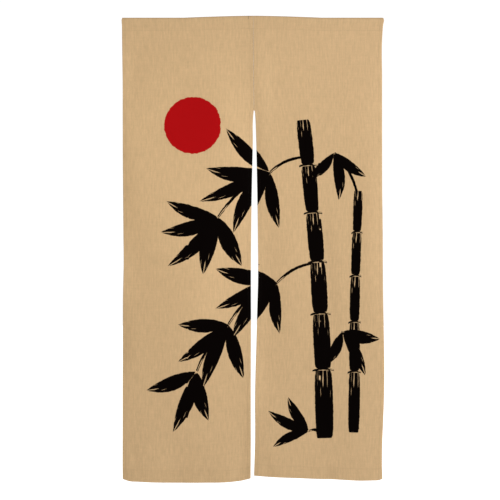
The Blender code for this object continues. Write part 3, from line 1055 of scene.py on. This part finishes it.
def painted_seam_shade(tree, place):
    """Painted shade along the seam: the sum of its lines' shades, each shade * exp(-(distance / width)^2)
    over its drops.
    """
    x, drop, _ = parts_of(tree, place)
    total = 0.0
    for line_x, start, end, shade in SEAM_SHADE_LINES:
        begun, unended = calc(tree, "GREATER_THAN", drop, start), calc(tree, "LESS_THAN", drop, end)
        total = plus(tree, times(tree, bell(tree, x, line_x, SEAM_SHADE_WIDTH), begun, unended, shade), total)
    return total


def cloth_material():
    """Slubbed cloth with painted shade where layers lie behind it, along its rows of stitches and along the
    seam, with its print in red and black.
    The print is on the right side of the front layer, and bleeds a little to its wrong side."""
    material, tree, shader = new_material("slubbed_cloth")
    place = node(tree, "ShaderNodeUVMap", uv_map="cloth").outputs[0]
    right_side, front, _ = parts_of(tree, attribute(tree, "sides")["Vector"])
    weave = use(tree, slub_weave_group(), {"Place": place})
    layers = use(tree, layers_group(), {"Hems": attribute(tree, "hems")["Vector"]})

    cloudy = times(tree, uneven(tree, place, CLOUDS), CLOUD_CONTRAST)
    tone = plus(tree, times(tree, weave["Tone"], WEAVE_CONTRAST), cloudy, 1.0)
    # Painted shade: darker over turned layers, along the rows of stitches and along the seam's lines.
    doubled = times(tree, layers["Layers"], -LAYER_SHADE)
    sewn = times(tree, layers["Stitched"], -STITCH_SHADE)
    tone = less(tree, plus(tree, tone, doubled, sewn), painted_seam_shade(tree, place))

    strength = times(tree, front, plus(tree, times(tree, right_side, 1.0 - BLEED), BLEED))
    red = times(tree, sun_ink(tree, place), strength)
    reach = stroke_group()
    stalk, leaf = (brush_ink(tree, reach, place, kind) for kind in BRUSH)
    black = times(tree, calc(tree, "MAXIMUM", stalk, leaf), strength)
    colour = blend(tree, red, dye(tree, CLOTH_COLOUR, tone), SUN_COLOUR)
    put(blend(tree, black, colour, INK_COLOUR), shader["Base Color"])

    height = less(tree, weave["Height"], times(tree, layers["Stitched"], DIMPLE_DEPTH))
    bump = node(tree, "ShaderNodeBump", {"Strength": 1.0, "Distance": WEAVE_DEPTH, "Height": height})
    put(bump.outputs[0], shader["Normal"])
    put(plus(tree, times(tree, weave["Tone"], ROUGHNESS_RANGE), CLOTH_ROUGHNESS), shader["Roughness"])
    shader["Specular IOR Level"].default_value = CLOTH_SPECULAR
    return material


def thread_material():
    """Sewing thread: two plies twisted together, a shade deeper than the cloth, black under the print."""
    material, tree, shader = new_material("sewing_thread")
    place = node(tree, "ShaderNodeTexCoord").outputs["Object"]
    tone = plus(tree, times(tree, uneven(tree, place, THREAD_FLECKS), THREAD_CONTRAST), 1.0)
    colour = blend(tree, attribute(tree, "inked")["Fac"], dye(tree, THREAD_COLOUR, tone), INK_COLOUR)
    put(colour, shader["Base Color"])
    twist = {"Vector": place, "Scale": PLY_SCALE, "Distortion": 1.0}
    plies = node(tree, "ShaderNodeTexWave", twist, wave_type="BANDS", bands_direction="DIAGONAL")
    ply_bump = {"Strength": PLY_STRENGTH, "Distance": PLY_DEPTH, "Height": plies.outputs["Fac"]}
    put(node(tree, "ShaderNodeBump", ply_bump).outputs[0], shader["Normal"])
    shader["Roughness"].default_value = THREAD_ROUGHNESS
    shader["Specular IOR Level"].default_value = THREAD_SPECULAR
    return material


def floor_material():
    """A pale floor that the camera sees as plain white, like the studio behind it."""
    material, tree, shader = new_material("pale_floor")
    grain = uneven(tree, node(tree, "ShaderNodeTexCoord").outputs["Object"], FLOOR_GRAIN)
    put(plus(tree, times(tree, grain, FLOOR_CONTRAST), FLOOR_TONE), shader["Base Color"])
    shader["Roughness"].default_value = FLOOR_ROUGHNESS
    shader["Emission Color"].default_value = WHITE
    put(node(tree, "ShaderNodeLightPath").outputs["Is Camera Ray"], shader["Emission Strength"])
    return material


def build_floor():
    """A round floor below the hanging cloth: rings of points about its middle."""
    ring = np.linspace(0, 2 * np.pi, FLOOR_SIDES, endpoint=False)
    rings = np.stack([np.cos(ring), np.sin(ring), 0 * ring], axis=-1)[None]
    rings = rings * np.array(FLOOR_RADII)[:, None, None]
    points = np.concatenate([[[0.0, 0.0, 0.0]], rings.reshape(-1, 3)]) + [0.0, 0.0, FLOOR_Z]
    k = np.arange(FLOOR_SIDES)
    nxt = (k + 1) % FLOOR_SIDES
    faces = np.stack([0 * k, 1 + k, 1 + nxt], axis=-1).tolist()
    for inner in range(len(FLOOR_RADII) - 1):
        a, b = 1 + inner * FLOOR_SIDES, 1 + (inner + 1) * FLOOR_SIDES
        faces += np.stack([a + k, b + k, b + nxt, a + nxt], axis=-1).tolist()
    mesh_object("floor", points, faces, floor_material())


def soft_light(name, place, size, power, colour):
    """A round lamp that shines at the middle of the cloth."""
    light = bpy.data.lights.new(name, "AREA")
    light.shape, light.size, light.energy, light.color = "DISK", size, power, colour
    lamp = placed(name, light)
    lamp.location = place
    lamp.rotation_euler = (Vector(LIGHT_AIM) - Vector(place)).to_track_quat("-Z", "Y").to_euler()


def build_studio():
    """A white surround that the camera sees as paper white, a soft light from the right and a fill."""
    scene = bpy.context.scene
    scene.view_settings.view_transform = "Standard"
    world = bpy.data.worlds.new("white studio")
    world.use_nodes = True
    tree = world.node_tree
    tree.nodes.clear()
    seen = node(tree, "ShaderNodeLightPath").outputs["Is Camera Ray"]
    strength = plus(tree, times(tree, seen, PAPER_WHITE - SURROUND), SURROUND)
    colour = blend(tree, seen, SURROUND_COLOUR, WHITE)
    background = node(tree, "ShaderNodeBackground", {"Color": colour, "Strength": strength})
    node(tree, "ShaderNodeOutputWorld", {"Surface": background.outputs[0]})
    scene.world = world
    for light in LIGHTS:
        soft_light(*light)


def build_camera():
    """A long lens straight in front of the cloth, which takes in VIEW_HEIGHT at the cloth."""
    camera = bpy.data.cameras.new("camera")
    camera.sensor_width = SENSOR_WIDTH
    camera.lens = SENSOR_WIDTH * VIEW_DISTANCE / VIEW_HEIGHT
    seat = placed("camera", camera)
    seat.location = (VIEW_X, CLOTH_Y - VIEW_DISTANCE, VIEW_Z)
    seat.rotation_euler = (math.pi / 2, 0.0, 0.0)
    bpy.context.scene.camera = seat


def main():
    build_camera()
    build_studio()
    build_floor()
    cloth, thread = cloth_material(), thread_material()
    for name, side in (("left", -1), ("right", 1)):
        piece = panel(f"cloth_{name}", side, cloth)
        stitching = panel_stitching(f"stitching_{name}", side, thread)
        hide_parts(f"panel_{name}")
        for part in (piece, stitching):
            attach(part, "root")
    seam = seam_stitching("seam_stitching", thread)
    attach(seam, "root")


main()
